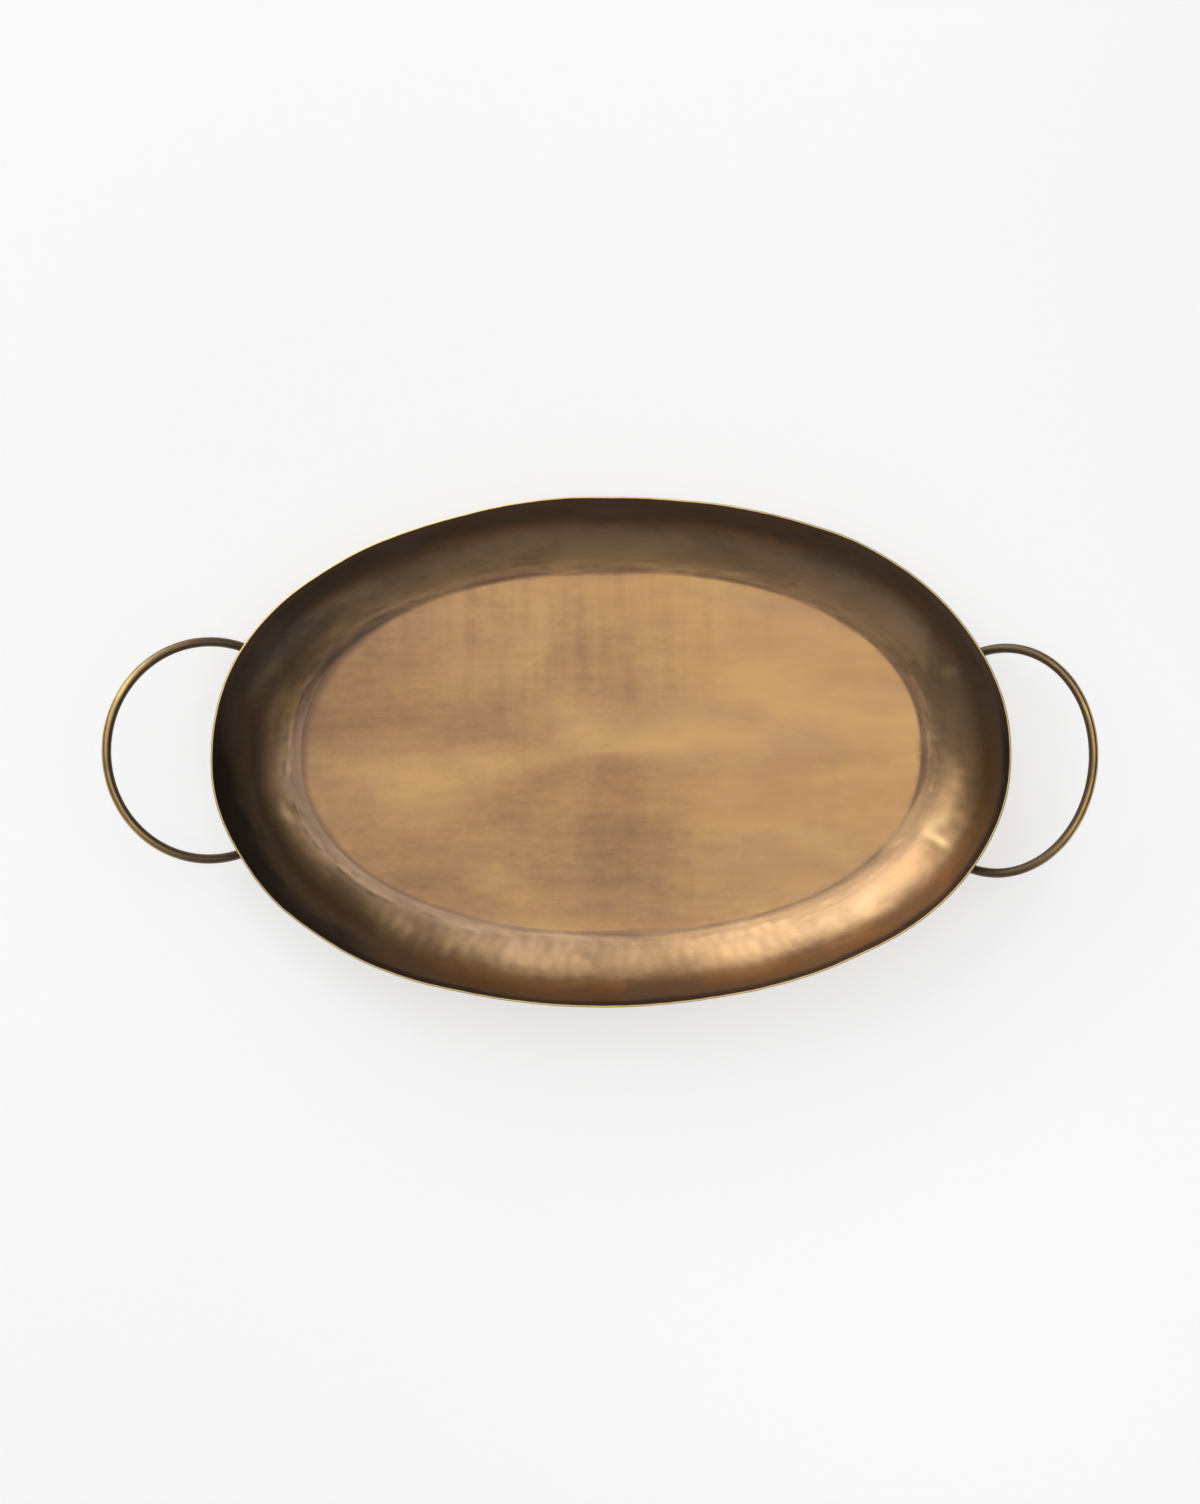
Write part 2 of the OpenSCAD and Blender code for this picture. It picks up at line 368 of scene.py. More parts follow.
def mark_pan(piece, inside, t, up, flow, lip_rows):
    """Stores what the metal needs: share of the wall, flecks of clear brass (wear and painted highlight), cut
    edge, mm from the crease, flow.
    """
    t_full = np.broadcast_to(t, inside.shape[:2])
    one = np.ones((lip_rows, AROUND))
    mark(piece, "wall_share", np.concatenate([t_full, one, t_full[::-2]]), 0, 0)
    worn_glint = np.concatenate([bells(inside, WORN_GLINT_FLECKS), 0 * one, 0 * t_full[::-2]])
    mark(piece, "worn_glint", worn_glint, 0, 0)
    cut = np.concatenate([0 * t_full, one * np.array([0.4, 1, 1, 1, 0.7])[:, None], 0 * t_full[::-2]])
    mark(piece, "cut_edge", cut, 0, 0)
    from_crease = np.broadcast_to(up, inside.shape[:2])
    crease = np.concatenate([from_crease, one * up[-1, 0], from_crease[::-2]]) / MM
    mark(piece, "from_crease", crease, -200, -200)
    lip_flow = np.repeat(flow[-1:], lip_rows, 0)
    mark_vector(piece, "flow", np.concatenate([flow, lip_flow, flow[::-2]]), (0, 0, -0.2), (0, 0, -0.2))


def make_pan():
    """The pan: the outside's grid from middle to rim, given hand work, then a sheet's thickness.

    Rings run out over the inside, round the cut edge and back under the outside.
    """
    q, length = even_angles(AROUND)
    along = np.arange(AROUND) / AROUND * length
    share, t, wall = pan_rings()
    skin, normal, up = formed_skin(q, share, t, wall)
    flow = on_drum(along, up, length)
    skin = skin + normal * hand_work(skin, share, up, flow, length)[..., None]
    normal = grid_normals(skin)
    normal[0] = (0, 0, 1)
    inside = skin + normal * SHEET
    lip = cut_lip(skin, normal)
    under = skin[::-2].copy()
    on_floor = (t == 0)[::-2]
    under[..., 2] = np.where(on_floor, np.minimum(under[..., 2], FLOOR_LIFT), under[..., 2])
    grid = np.concatenate([inside, lip, under])
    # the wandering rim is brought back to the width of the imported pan
    low, high = grid[..., 1].min(), grid[..., 1].max()
    grid[..., 1] = (grid[..., 1] - (low + high) / 2) * 2 * HALF_W / (high - low)
    middle = (PAN_X, 0, float(inside[0, :, 2].mean()))
    bottom = (PAN_X, 0, float(under[-1, :, 2].mean()))
    piece = closed_mesh("pan_sheet", grid, middle, bottom)
    mark_pan(piece, inside, t, up, flow, len(lip))
    return piece


# ---- handles ----
ROD_SIDES = 40          # grid steps round the rod
ROD_STEPS = 300         # circles along the rod
END_EASE = 0.06         # share of the rod over which its steps give way to the slanted cut at each end


def loop_point(loop, q):
    """Point on a loop's axis at angle q, in degrees: a turned ellipse that rises away from the pan."""
    a, turn = np.radians(q), math.radians(loop["turn"])
    u, v = loop["half_l"] * np.cos(a), loop["half_w"] * np.sin(a)
    x = loop["x"] + loop["side"] * u * math.cos(turn) - v * math.sin(turn)
    y = loop["shift"] + loop["side"] * u * math.sin(turn) + v * math.cos(turn)
    z = loop["top"] - (loop["half_l"] - u) * math.tan(math.radians(LOOP_RISE))
    return np.stack([PAN_X + x, y, z], -1)


def rod_side(loop, q, w, radius=ROD_R):
    """Point on the rod's surface at angle q along the loop and angle w, in radians, round the rod."""
    along = unit(loop_point(loop, q + 0.1) - loop_point(loop, q - 0.1))
    flat = unit(np.cross(along, (0, 0, 1)))
    rise = np.cross(flat, along)
    radius = np.asarray(radius)[..., None]
    return loop_point(loop, q) + radius * (flat * np.cos(w)[..., None] + rise * np.sin(w)[..., None])


def meets_wall(loop, end, w):
    """Angle at which each side line of the rod passes through the wall's skin, by halving."""
    clear, met = np.full(np.shape(w), 90.0), np.full(np.shape(w), 175.0)
    for _ in range(30):
        q = (clear + met) / 2
        p = rod_side(loop, end * q, w)
        below = p[..., 2] < skin_height(p[..., 0] - PAN_X, p[..., 1])
        clear, met = np.where(below, q, clear), np.where(below, met, q)
    return end * (clear + met) / 2


def rod_places(loop, w, k):
    """Angle along the loop of each point of the rod's grid: even steps between ends cut to the skin."""
    front, back = meets_wall(loop, -1, w), meets_wall(loop, 1, w)
    even = front.mean() + (back.mean() - front.mean()) * k
    at_front = np.clip(1 - k / END_EASE, 0, 1)
    at_back = np.clip(1 - (1 - k) / END_EASE, 0, 1)
    return even + (front - front.mean()) * at_front + (back - back.mean()) * at_back


def rod_radius(rng, w, k):
    """Radius over the rod's grid: a touch thin, with slow swells along it and ripples that wind round it."""
    swell = 0
    for n in range(3, 24, 2):
        size, start = rng.uniform(0.1, 0.5) / n, rng.uniform(0, 6.28)
        swell = swell + size * np.cos(n * 2 * np.pi * k + start)
    ripple = 0
    for m, n in [(2, 9), (3, 17), (2, 31), (4, 47)]:
        size, start = rng.uniform(-1, 1), rng.uniform(0, 6.28)
        ripple = ripple + size * np.cos(m * w[None] + n * 2 * np.pi * k + start)
    return ROD_R * (1 + 0.012 * swell - 0.004) + 0.012 * MM * ripple


def make_handle(name, loop, seed):
    """A loop of round rod: circles carried along a tilted ellipse, each end cut to the wall's skin."""
    w = 2 * np.pi * np.arange(ROD_SIDES) / ROD_SIDES
    k = np.linspace(0, 1, ROD_STEPS)[:, None]
    q = rod_places(loop, w, k)
    radius = rod_radius(np.random.default_rng(seed), w, k)
    grid = rod_side(loop, q, np.broadcast_to(w, q.shape), radius)
    away = grid - loop_point(loop, q)
    for row, near in ((0, 1), (-1, -2)):
        inward = unit(grid[row] - grid[near])
        grid[row] += inward * (FOOT_SINK + foot_dent(grid[row]))[:, None]
    piece = closed_mesh(name, grid, grid[0].mean(0), grid[-1].mean(0))
    along = (k - 0.5) * 2 + 0 * q
    mark(piece, "loop_share", np.abs(along), 1, 1)
    outward = unit((grid.mean(1) - grid.mean((0, 1))) * (1, 1, 0))[:, None]
    # side of the rod facing up and outward, where it is worn and where a highlight is painted
    worn_and_highlight_side = (unit(away) * unit(outward * 0.5 + (0, 0, 1))).sum(-1)
    mark(piece, "worn_and_highlight_side", worn_and_highlight_side, 0, 0)
    rolled_x, rolled_y = np.cos(w) * ROD_R + 0 * q, np.sin(w) * ROD_R + 0 * q
    flow = np.stack([rolled_x, rolled_y, along * loop["half_w"] * 2.4], -1)
    mark_vector(piece, "flow", flow, (0, 0, flow[0, 0, 2]), (0, 0, flow[-1, 0, 2]))
    return piece


# ---- braze ----
BEAD_SIDES = 72         # sections round a bead
BEAD_STEPS = 22         # points along each section


def skin_normal(p):
    """Outward normal of the wall's skin at points on it, from the slope of its height."""
    x, y, h = p[..., 0] - PAN_X, p[..., 1], 0.05 * MM
    dx = (skin_height(x + h, y) - skin_height(x - h, y)) / (2 * h)
    dy = (skin_height(x, y + h) - skin_height(x, y - h)) / (2 * h)
    return unit(np.stack([dx, dy, -np.ones_like(dx)], -1))


def random_waves(rng, w, turns):
    """Waves round a ring, each of a random size and start, added up."""
    total = 0
    for n in turns:
        size, start = rng.uniform(-1, 1), rng.uniform(0, 6.28)
        total = total + size * np.cos(n * w + start)
    return total


def make_braze(name, loop, end, seed):
    """A run of braze round a rod's foot: each section is a curve from the wall up on to the rod.

    A section starts on the skin, leaves along it, and joins the rod's side line: a quadratic curve
    whose middle point is where the side line meets the skin.
    """
    w = 2 * np.pi * np.arange(BEAD_SIDES) / BEAD_SIDES
    rng = np.random.default_rng(seed)
    q = meets_wall(loop, end, w)
    corner = rod_side(loop, q, w)
    middle = corner.mean(0)
    normal = skin_normal(corner)
    away = corner - middle
    away = unit(away - normal * np.einsum("ij,ij->i", away, normal)[:, None])
    foot = corner + away * (BEAD_REACH + 0.35 * MM * random_waves(rng, w, (2, 3, 5)))[:, None]
    foot[:, 2] = skin_height(foot[:, 0] - PAN_X, foot[:, 1])
    foot_normal = skin_normal(foot)
    foot = foot - foot_normal * (BEAD_SINK + foot_dent(foot))[:, None]
    per_degree = np.linalg.norm(loop_point(loop, q.mean() + 0.5) - loop_point(loop, q.mean() - 0.5))
    back = (BEAD_RUN + 0.6 * MM * random_waves(rng, w, (2, 3, 5))) / per_degree
    tip = rod_side(loop, q - end * back, w, ROD_R + 0.03 * MM)
    bend = corner + normal * 0.35 * MM
    s = np.linspace(0, 1, BEAD_STEPS)[:, None, None]
    grid = foot * (1 - s) ** 2 + bend * 2 * s * (1 - s) + tip * s ** 2
    out = grid_normals(grid)
    heart = grid.mean((0, 1))
    if (out * (grid - heart)).sum() < 0:
        out = -out
    starts = 0.25 * random_waves(rng, w, (2, 3, 5))[None, :, None]
    rings = 0.07 * MM * np.sin(2 * np.pi * (s * 5 + starts))
    lumps = 0.06 * MM * random_waves(rng, w, (3, 4, 7))[None, :, None]
    grid = grid + out * (rings + lumps) * np.sin(np.pi * s)
    under = foot - foot_normal * 0.15 * MM
    core = loop_point(loop, q.mean() - end * back.mean())
    inner = core + (tip - core) * 0.8
    grid = np.concatenate([under[None], grid, inner[None]])
    return closed_mesh(name, grid, loop_point(loop, q.mean()), core)


# ---- materials ----
class Nodes:
    """Short calls that add nodes to one shader tree."""

    def __init__(self, tree):
        self.tree = tree

    def add(self, kind, inputs=None, **settings):
        """Adds a node, sets its properties, and sets or links its inputs by name or number."""
        made = self.tree.nodes.new(kind)
        for key, value in settings.items():
            setattr(made, key, value)
        for key, value in (inputs or {}).items():
            self.feed(value, made.inputs[key])
        return made

    def feed(self, value, socket):
        """Links a socket to another, or sets it to a plain value."""
        if isinstance(value, bpy.types.NodeSocket):
            self.tree.links.new(value, socket)
        else:
            socket.default_value = value

    def sum(self, *values):
        """All the values added up."""
        total = values[0]
        for value in values[1:]:
            total = self.add("ShaderNodeMath", {0: total, 1: value}, operation="ADD").outputs[0]
        return total

    def times(self, a, b):
        """One value times another."""
        return self.add("ShaderNodeMath", {0: a, 1: b}, operation="MULTIPLY").outputs[0]

    def less(self, a, b):
        """One value less another."""
        return self.add("ShaderNodeMath", {0: a, 1: b}, operation="SUBTRACT").outputs[0]

    def off(self, value, middle):
        """Distance of a value from a middle one."""
        return self.add("ShaderNodeMath", {0: self.less(value, middle)}, operation="ABSOLUTE").outputs[0]

    def about(self, value, size):
        """A random value carried to run about zero, over a size."""
        return self.times(self.less(value, 0.5), size)

    def spread(self, value, low, high, to_low=0.0, to_high=1.0):
        """Value carried smoothly from one span to another."""
        made = self.add("ShaderNodeMapRange", {0: value, 1: low, 2: high, 3: to_low, 4: to_high},
                        interpolation_type="SMOOTHSTEP")
        return made.outputs[0]

    def mix(self, share, a, b):
        """From a to b by share."""
        return self.add("ShaderNodeMix", {0: share, 2: a, 3: b}).outputs[0]

    def tint(self, share, a, b):
        """From colour a to colour b by share."""
        return self.add("ShaderNodeMix", {0: share, 6: a, 7: b}, data_type="RGBA").outputs[2]

    def noise(self, place, scale=1.0, detail=3.0, rough=0.55, warp=0.0):
        """Smooth random value from 0 to 1 over space. scale is one number, or one for each axis."""
        if isinstance(scale, tuple):
            place = self.add("ShaderNodeMapping", {"Vector": place, "Scale": scale}).outputs[0]
            scale = 1.0
        return self.add("ShaderNodeTexNoise", {"Vector": place, "Scale": scale, "Detail": detail,
                                               "Roughness": rough, "Distortion": warp}).outputs[0]

    def place(self):
        """Position on the object, in metres."""
        return self.add("ShaderNodeTexCoord").outputs["Object"]

    def mark(self, name):
        """A value stored on the piece's vertices."""
        return self.add("ShaderNodeAttribute", attribute_name=name).outputs["Fac"]

    def mark_vector(self, name):
        """A vector stored on the piece's vertices."""
        return self.add("ShaderNodeAttribute", attribute_name=name).outputs["Vector"]

    def group(self, group, inputs):
        """Places a group and gives back its outputs."""
        return self.add("ShaderNodeGroup", inputs, node_tree=group).outputs


def new_metal(name):
    """A metal material: the material, its nodes and its shader."""
    material = bpy.data.materials.new(name)
    material.use_nodes = True
    shader = material.node_tree.nodes["Principled BSDF"]
    shader.inputs["Metallic"].default_value = 1.0
    return material, Nodes(material.node_tree), shader


FLOAT, VECTOR, COLOUR = "NodeSocketFloat", "NodeSocketVector", "NodeSocketColor"


def new_group(name, inputs, outputs):
    """A shader node group with named inputs and outputs."""
    group = bpy.data.node_groups.new(name, "ShaderNodeTree")
    for title, kind in inputs:
        group.interface.new_socket(title, in_out="INPUT", socket_type=kind)
    for title, kind in outputs:
        group.interface.new_socket(title, in_out="OUTPUT", socket_type=kind)
    given = group.nodes.new("NodeGroupInput").outputs
    out = group.nodes.new("NodeGroupOutput").inputs
    return group, Nodes(group), given, out


def aged_brass_group():
    """Brass under a brown-black patina. Tarnish says how much; the metal itself wanders in hue. On the pan
    and rods, Tarnish also carries painted light, painted shade and painted highlight.

    The patina is an oxide, so where it is thick the surface is less metallic and reflects without colour.
    """
    group, nodes, given, out = new_group(
        "aged_brass",
        [("Position", VECTOR), ("Tarnish", FLOAT), ("Golden", COLOUR), ("Mauve", COLOUR), ("Orange", COLOUR),
         ("Brown", COLOUR), ("Patina", COLOUR), ("Cloud", FLOAT)],
        [("Color", COLOUR), ("Roughness", FLOAT), ("Metallic", FLOAT)])
    place = given["Position"]
    cloud = nodes.noise(place, given["Cloud"], 4.0, 0.55)
    first = nodes.noise(place, nodes.times(given["Cloud"], 1.3), 4.0, 0.55)
    second = nodes.noise(place, nodes.times(given["Cloud"], 0.6), 4.0, 0.55)
    speck = nodes.noise(place, 900.0, 2.0, 0.6)
    amount = nodes.sum(given["Tarnish"], nodes.about(cloud, 0.2), nodes.about(speck, 0.05))
    metal = nodes.tint(nodes.spread(first, 0.3, 0.75), given["Golden"], given["Mauve"])
    metal = nodes.tint(nodes.spread(second, 0.4, 0.8), metal, given["Orange"])
    colour = nodes.tint(nodes.spread(amount, 0.1, 0.6), metal, given["Brown"])
    colour = nodes.tint(nodes.spread(amount, 0.55, 1.0), colour, given["Patina"])
    nodes.feed(colour, out["Color"])
    nodes.feed(nodes.spread(amount, 0.0, 1.0, 0.30, 0.46), out["Roughness"])
    nodes.feed(nodes.spread(amount, 0.35, 1.0, 1.0, 0.4), out["Metallic"])
    return group


def brush_group():
    """Brush lines: noise drawn out along one axis of Flow."""
    group, nodes, given, out = new_group(
        "brush_lines",
        [("Flow", VECTOR), ("Fine", FLOAT)],
        [("Height", FLOAT)])
    broad = nodes.noise(given["Flow"], nodes.times(given["Fine"], 90.0), 3.0, 0.6)
    fine = nodes.noise(given["Flow"], nodes.times(given["Fine"], 700.0), 3.0, 0.65)
    nodes.feed(nodes.mix(0.5, broad, fine), out["Height"])
    return group


# Colours of the aged brass: the floor's, which the braze shares, then the wall's and its back side's, whose
# lighter patina is partly painted light, the mauve low on the wall at the front left, the clear brass of
# flecks and cut edge, and the rods'
TONES = {
    "Golden": (0.665, 0.398, 0.166, 1),
    "Mauve": (0.515, 0.292, 0.160, 1),
    "Orange": (0.60, 0.325, 0.129, 1),
    "Brown": (0.29, 0.168, 0.102, 1),
    "Patina": (0.035, 0.028, 0.022, 1),
}
WALL_TONES = {
    "Golden": (0.63, 0.398, 0.205, 1),
    "Mauve": (0.50, 0.306, 0.178, 1),
    "Orange": (0.58, 0.345, 0.158, 1),
    "Brown": (0.215, 0.140, 0.082, 1),
    "Patina": (0.035, 0.028, 0.022, 1),
}
# back side of the wall: greyer tones and a much lighter patina, partly its own hue and partly painted light
# where the lamps leave that wall dim
COOL_PAINTED_LIGHT_TONES = {
    "Golden": (0.56, 0.39, 0.235, 1),
    "Mauve": (0.45, 0.305, 0.195, 1),
    "Orange": (0.44, 0.315, 0.20, 1),
    "Brown": (0.190, 0.162, 0.138, 1),
    "Patina": (0.20, 0.140, 0.100, 1),
}
CREASE_MAUVE = (0.45, 0.302, 0.205, 1)
CUT_BRASS = (0.82, 0.60, 0.28, 1)
ROD_TONES = {
    "Golden": (0.72, 0.50, 0.20, 1),
    "Mauve": (0.52, 0.35, 0.17, 1),
    "Orange": (0.58, 0.36, 0.14, 1),
    "Brown": (0.170, 0.116, 0.068, 1),
    "Patina": (0.035, 0.030, 0.022, 1),
}


def finish_metal(nodes, shader, metal, height, strength, depth):
    """Links the aged brass and a height to the shader."""
    nodes.feed(metal["Color"], shader.inputs["Base Color"])
    nodes.feed(metal["Roughness"], shader.inputs["Roughness"])
    nodes.feed(metal["Metallic"], shader.inputs["Metallic"])
    bump = nodes.add("ShaderNodeBump", {"Height": height, "Strength": strength, "Distance": depth})
    nodes.feed(bump.outputs[0], shader.inputs["Normal"])


def floor_tarnish_and_light(nodes, place, across, back):
    """Tarnish of the floor: clouds drawn out along the tray, cross bands, grain, a darker column down the
    middle, a darker left end and front side, and painted light that lightens the floor towards the right.

    Places are in metres across and back from the tray's middle.
    """
    drawn = nodes.noise(place, (9, 40, 40), 5.0, 0.6)
    broad = nodes.noise(place, (6, 11, 11), 2.0, 0.5)
    at_back = nodes.spread(back, 0.0, 0.08, 0.25, 1.0)
    band_place = nodes.times(at_back, nodes.spread(across, -0.14, -0.04, 0.4, 1.0))
    band = nodes.times(nodes.about(nodes.noise(place, (75, 7, 7), 2.0), 0.36), band_place)
    line = nodes.about(nodes.noise(place, (14, 330, 24), 3.0, 0.6), 0.09)
    grain = nodes.about(nodes.noise(place, (130, 200, 130), 4.0, 0.65), 0.16)
    tone = nodes.sum(nodes.about(drawn, 0.34), nodes.about(broad, 0.40), band, line, grain)
    shaken = nodes.sum(back, nodes.about(nodes.noise(place, 16.0, 3.0), 0.1))
    middle = nodes.off(nodes.sum(across, nodes.about(broad, 0.1)), -0.01)
    front_zone = nodes.spread(nodes.off(shaken, -0.06), 0.0, 0.075, 0.14, 0.0)
    back_zone = nodes.spread(nodes.off(shaken, 0.05), 0.0, 0.06, 0.12, 0.0)
    column = nodes.times(nodes.spread(middle, 0.0, 0.15, 1.0, 0.0), nodes.sum(0.07, front_zone, back_zone))
    left_end = nodes.spread(across, -0.18, -0.09, 0.13, 0.0)
    front_side = nodes.spread(back, -0.1, -0.02, 0.06, 0.0)
    # painted light: less tarnish towards the right, so the floor reads as lit from that side
    painted_light_to_right = nodes.spread(across, -0.2, 0.16, 0.06, -0.08)
    return nodes.sum(0.175, tone, column, left_end, front_side, painted_light_to_right)


def wall_tarnish(nodes, flow, wall, from_crease, across, back):
    """Tarnish of the wall: thicker up to the rim and at the left end, in patches, and streaked low down."""
    patch = nodes.noise(flow, (12, 12, 34), 4.0, 0.55, 0.5)
    edged = nodes.spread(nodes.noise(flow, (16, 16, 30), 4.0, 0.6), 0.43, 0.59, -0.06, 0.07)
    streak = nodes.about(nodes.noise(flow, (14, 14, 240), 3.0, 0.6), 0.45)
    streak = nodes.times(streak, nodes.spread(from_crease, 5.0, 24.0, 1.0, 0.0))
    left_end = nodes.times(nodes.spread(across, -0.25, -0.06, 0.48, 0.0), nodes.spread(wall, 0.25, 0.5))
    left_end = nodes.times(left_end, nodes.spread(back, -0.02, 0.06, 1.0, 0.12))
    back_left = nodes.times(nodes.spread(across, -0.19, -0.07, 1.0, 0.0), nodes.spread(back, 0.01, 0.06))
    back_left = nodes.times(back_left, nodes.spread(wall, 0.05, 0.6, 0.17, -0.03))
    at_rim = nodes.spread(wall, 0.8, 0.95, 0.0, nodes.spread(back, -0.02, 0.08, 0.4, 0.3))
    thick_from = nodes.spread(back, -0.02, 0.08, 0.9, 0.78)
    by_height = nodes.spread(wall, 0.3, thick_from, 0.18, 0.66)
    right_end = nodes.times(nodes.spread(across, 0.13, 0.2), nodes.spread(wall, 0.1, 0.5, 0.17, 0.0))
    right_end = nodes.times(right_end, nodes.spread(back, -0.045, 0.0))
    clouded = nodes.sum(by_height, nodes.about(patch, 0.28), edged)
    return nodes.sum(clouded, streak, left_end, right_end, back_left, at_rim)


def crease_patina_and_shade(nodes, flow, from_crease, across, back):
    """A soft dark line in the crease, partly patina and partly painted shade, wider and darker at the left
    end, faint at the front right where the key light falls.
    """
    wide = nodes.spread(nodes.noise(flow, 9.0, 2.0), 0.35, 0.65, 3.0, 6.0)
    wide = nodes.sum(wide, nodes.spread(across, -0.24, -0.05, 4.5, 0.0))
    # the painted shade fades where the key light falls, low on the front right
    faint = nodes.times(nodes.spread(across, 0.0, 0.1, 0.0, 0.55), nodes.spread(back, -0.06, 0.0, 1.0, 0.0))
    dark = nodes.times(nodes.spread(across, -0.22, -0.02, 0.38, 0.24), nodes.less(1.0, faint))
    centre = nodes.spread(across, -0.2, 0.0, 2.6, 1.3)
    return nodes.spread(nodes.off(from_crease, centre), 0.0, wide, dark, 0.0)


def pan_tones(nodes, wall, from_crease, on_wall, across, back):
    """Colours of the metal: redder on the wall, greyer and lighter on its back side (partly its own hue,
    partly painted light), mauve by the crease front left.
    """
    reach = nodes.spread(back, -0.05, 0.05, 1.5, 16.0)
    redder = nodes.spread(from_crease, -1.0, reach)
    greyer_and_lit = nodes.times(nodes.spread(back, -0.01, 0.075), nodes.spread(wall, 0.15, 0.5))
    to_left = nodes.spread(across, -0.15, 0.12, 1.0, 0.0)
    to_front = nodes.spread(back, -0.01, 0.045, 1.0, 0.0)
    low_down = nodes.times(nodes.spread(from_crease, 4.0, 24.0, 0.65, 0.0), on_wall)
    mauver = nodes.times(low_down, nodes.times(to_left, to_front))
    tones = {}
    for name, colour in TONES.items():
        colour = nodes.tint(redder, colour, WALL_TONES[name])
        colour = nodes.tint(greyer_and_lit, colour, COOL_PAINTED_LIGHT_TONES[name])
        tones[name] = nodes.tint(mauver, colour, CREASE_MAUVE)
    return tones


def pan_material(aged, brush):
    """Brushed and clouded floor with painted light towards the right, a wall that darkens to the rim, a
    crease line of patina and painted shade, flecks of clear brass that are partly wear and partly painted
    highlight, a bright cut edge.
    """
    material, nodes, shader = new_metal("pan_aged_brass")
    place, flow = nodes.place(), nodes.mark_vector("flow")
    wall, from_crease = nodes.mark("wall_share"), nodes.mark("from_crease")
    on_wall = nodes.spread(from_crease, -1.0, 1.5)
    split = nodes.add("ShaderNodeSeparateXYZ", {0: place}).outputs
    across, back = split["X"], split["Y"]
    of_floor = floor_tarnish_and_light(nodes, place, across, back)
    of_wall = wall_tarnish(nodes, flow, wall, from_crease, across, back)
    # the floor's part of this carries painted light as well as tarnish
    tarnish = nodes.mix(on_wall, of_floor, of_wall)
    # the crease line adds patina and painted shade
    tarnish = nodes.sum(tarnish, crease_patina_and_shade(nodes, flow, from_crease, across, back))
    # clear: the cut edge, and the flecks that carry painted highlights on the dents
    clear = nodes.sum(nodes.mark("cut_edge"), nodes.mark("worn_glint"))
    tarnish = nodes.times(tarnish, nodes.less(1.0, clear))
    tones = pan_tones(nodes, wall, from_crease, on_wall, across, back)
    drawn_out = nodes.add("ShaderNodeMapping", {"Vector": place, "Scale": (0.35, 1, 1)}).outputs[0]
    metal = nodes.group(aged, {"Position": drawn_out, "Tarnish": tarnish, "Cloud": 26.0, **tones})
    along_floor = nodes.add("ShaderNodeMapping", {"Vector": place, "Scale": (0.08, 1, 1)}).outputs[0]
    along_wall = nodes.add("ShaderNodeMapping", {"Vector": flow, "Scale": (0.15, 0.15, 1)}).outputs[0]
    floor_lines = nodes.group(brush, {"Flow": along_floor, "Fine": 1.0})["Height"]
    wall_lines = nodes.group(brush, {"Flow": along_wall, "Fine": 1.0})["Height"]
    finish_metal(nodes, shader, metal, nodes.mix(on_wall, floor_lines, wall_lines), 0.25, 0.0002)
    # the flecks (wear and painted highlight) and the cut edge show clear brass in place of the tarnished
    # colour
    nodes.feed(nodes.tint(clear, metal["Color"], CUT_BRASS), shader.inputs["Base Color"])
    return material


def rod_material(aged, brush):
    """Dark rod, lighter brass along its upper outer side: partly wear where hands close on it, partly a
    painted highlight where light from above would catch it.
    """
    material, nodes, shader = new_metal("rod_aged_brass")
    place, flow = nodes.place(), nodes.mark_vector("flow")
    held = nodes.spread(nodes.mark("loop_share"), 0.15, 0.8, 1.0, 0.0)
    patch = nodes.noise(flow, (120, 120, 22), 4.0, 0.6)
    # wear and painted highlight: the middle of the loop, on its upper outer side
    wear_and_highlight = nodes.times(held, nodes.spread(nodes.mark("worn_and_highlight_side"), 0.5, 0.97))
    wear_and_highlight = nodes.times(wear_and_highlight, nodes.spread(patch, 0.25, 0.7, 0.5, 1.0))
    tarnish = nodes.less(0.66, nodes.times(wear_and_highlight, 0.62))
    metal = nodes.group(aged, {"Position": place, "Tarnish": tarnish, "Cloud": 60.0, **ROD_TONES})
    along = nodes.add("ShaderNodeMapping", {"Vector": flow, "Scale": (1, 1, 0.08)}).outputs[0]
    lines = nodes.group(brush, {"Flow": along, "Fine": 2.0})["Height"]
    finish_metal(nodes, shader, metal, lines, 0.3, 0.0002)
    return material


def braze_material(aged):
    """Braze, yellower than the sheet and darker in patches."""
    material, nodes, shader = new_metal("braze_metal")
    place = nodes.place()
    patch = nodes.noise(place, 260.0, 3.0, 0.6)
    tones = {**TONES, "Golden": (0.70, 0.48, 0.19, 1), "Mauve": (0.55, 0.36, 0.15, 1)}
    tarnish = nodes.sum(0.15, nodes.times(patch, 0.6))
    metal = nodes.group(aged, {"Position": place, "Tarnish": tarnish, "Cloud": 120.0, **tones})
    finish_metal(nodes, shader, metal, nodes.noise(place, 900.0), 0.3, 0.0003)
    return material


